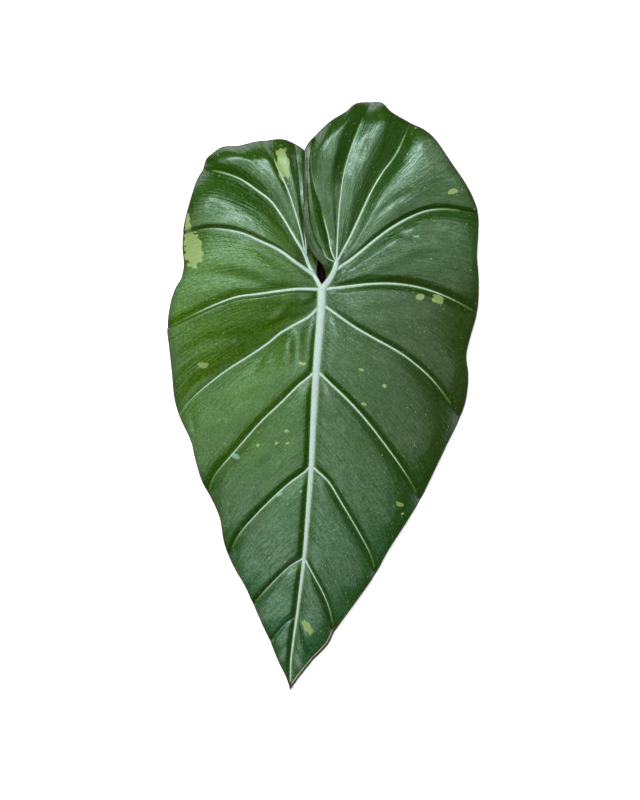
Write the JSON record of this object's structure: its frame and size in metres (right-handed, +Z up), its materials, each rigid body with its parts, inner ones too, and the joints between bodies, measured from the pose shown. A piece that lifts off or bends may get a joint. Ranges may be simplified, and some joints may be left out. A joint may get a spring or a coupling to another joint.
{
  "type": "philodendron leaf",
  "caption": "Elongated heart-shaped philodendron leaf, quilted between raised pale veins, with waved margins, overlapping lobes and a cut petiole beneath, lying face up.",
  "frame": {"origin": "on the table, under the middle of the leaf's box", "axes": "+Z up, out of the leaf's upper face; +Y along the leaf from its tip to its lobes; +X to the right of the leaf, seen from above with its tip towards the viewer"},
  "size_m": [0.1554, 0.295, 0.0201],
  "materials": {
    "blade": "gloss",
    "petiole": "satin"
  },
  "bodies": {
    "root": {"leaf_blade": "blade", "petiole": "petiole"}
  },
  "joints": []
}
